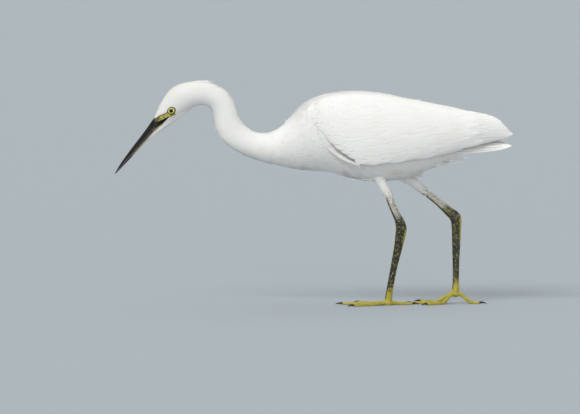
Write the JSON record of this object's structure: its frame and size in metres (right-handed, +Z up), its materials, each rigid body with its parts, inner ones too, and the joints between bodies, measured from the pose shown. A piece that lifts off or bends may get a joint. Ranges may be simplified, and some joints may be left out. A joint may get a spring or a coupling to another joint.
{
  "type": "little egret",
  "caption": "Life-size white little egret, wading, with its neck stretched low, slim black bill pointing down, folded wings and long dark legs in mid-step.",
  "frame": {"origin": "on the floor, under the middle of the bird's box", "axes": "-X forward, towards the bill; +X towards the tail; -Y to the bird's left; +Z up"},
  "size_m": [0.5042, 0.0938, 0.2871],
  "materials": {
    "plumage": "soft white feathers, faintly cream",
    "bill_black": "smooth black horn",
    "bill_pale": "dark horn, paler along its underside",
    "eye": "wet pale yellow with a black pupil",
    "leg_skin": "scaled olive black skin",
    "yellow_skin": "scaled yellow skin",
    "claw": "black horn"
  },
  "bodies": {
    "root": {"head": "plumage", "bill_upper": "bill_black", "bill_lower": "bill_pale", "neck_upper": "plumage", "neck_middle": "plumage", "neck_lower": "plumage", "torso": "plumage", "tail": "plumage", "eye_left": "eye", "wing_left": "plumage", "thigh_left": "plumage", "tibia_left": "leg_skin", "tarsus_left": "leg_skin", "foot_left": "yellow_skin", "toe_inner_left": "yellow_skin", "toe_middle_left": "yellow_skin", "toe_outer_left": "yellow_skin", "toe_hind_left": "yellow_skin", "claw_inner_left": "claw", "claw_middle_left": "claw", "claw_outer_left": "claw", "claw_hind_left": "claw", "eye_right": "eye", "wing_right": "plumage", "thigh_right": "plumage", "tibia_right": "leg_skin", "tarsus_right": "leg_skin", "foot_right": "yellow_skin", "toe_inner_right": "yellow_skin", "toe_middle_right": "yellow_skin", "toe_outer_right": "yellow_skin", "toe_hind_right": "yellow_skin", "claw_inner_right": "claw", "claw_middle_right": "claw", "claw_outer_right": "claw", "claw_hind_right": "claw"}
  },
  "joints": []
}
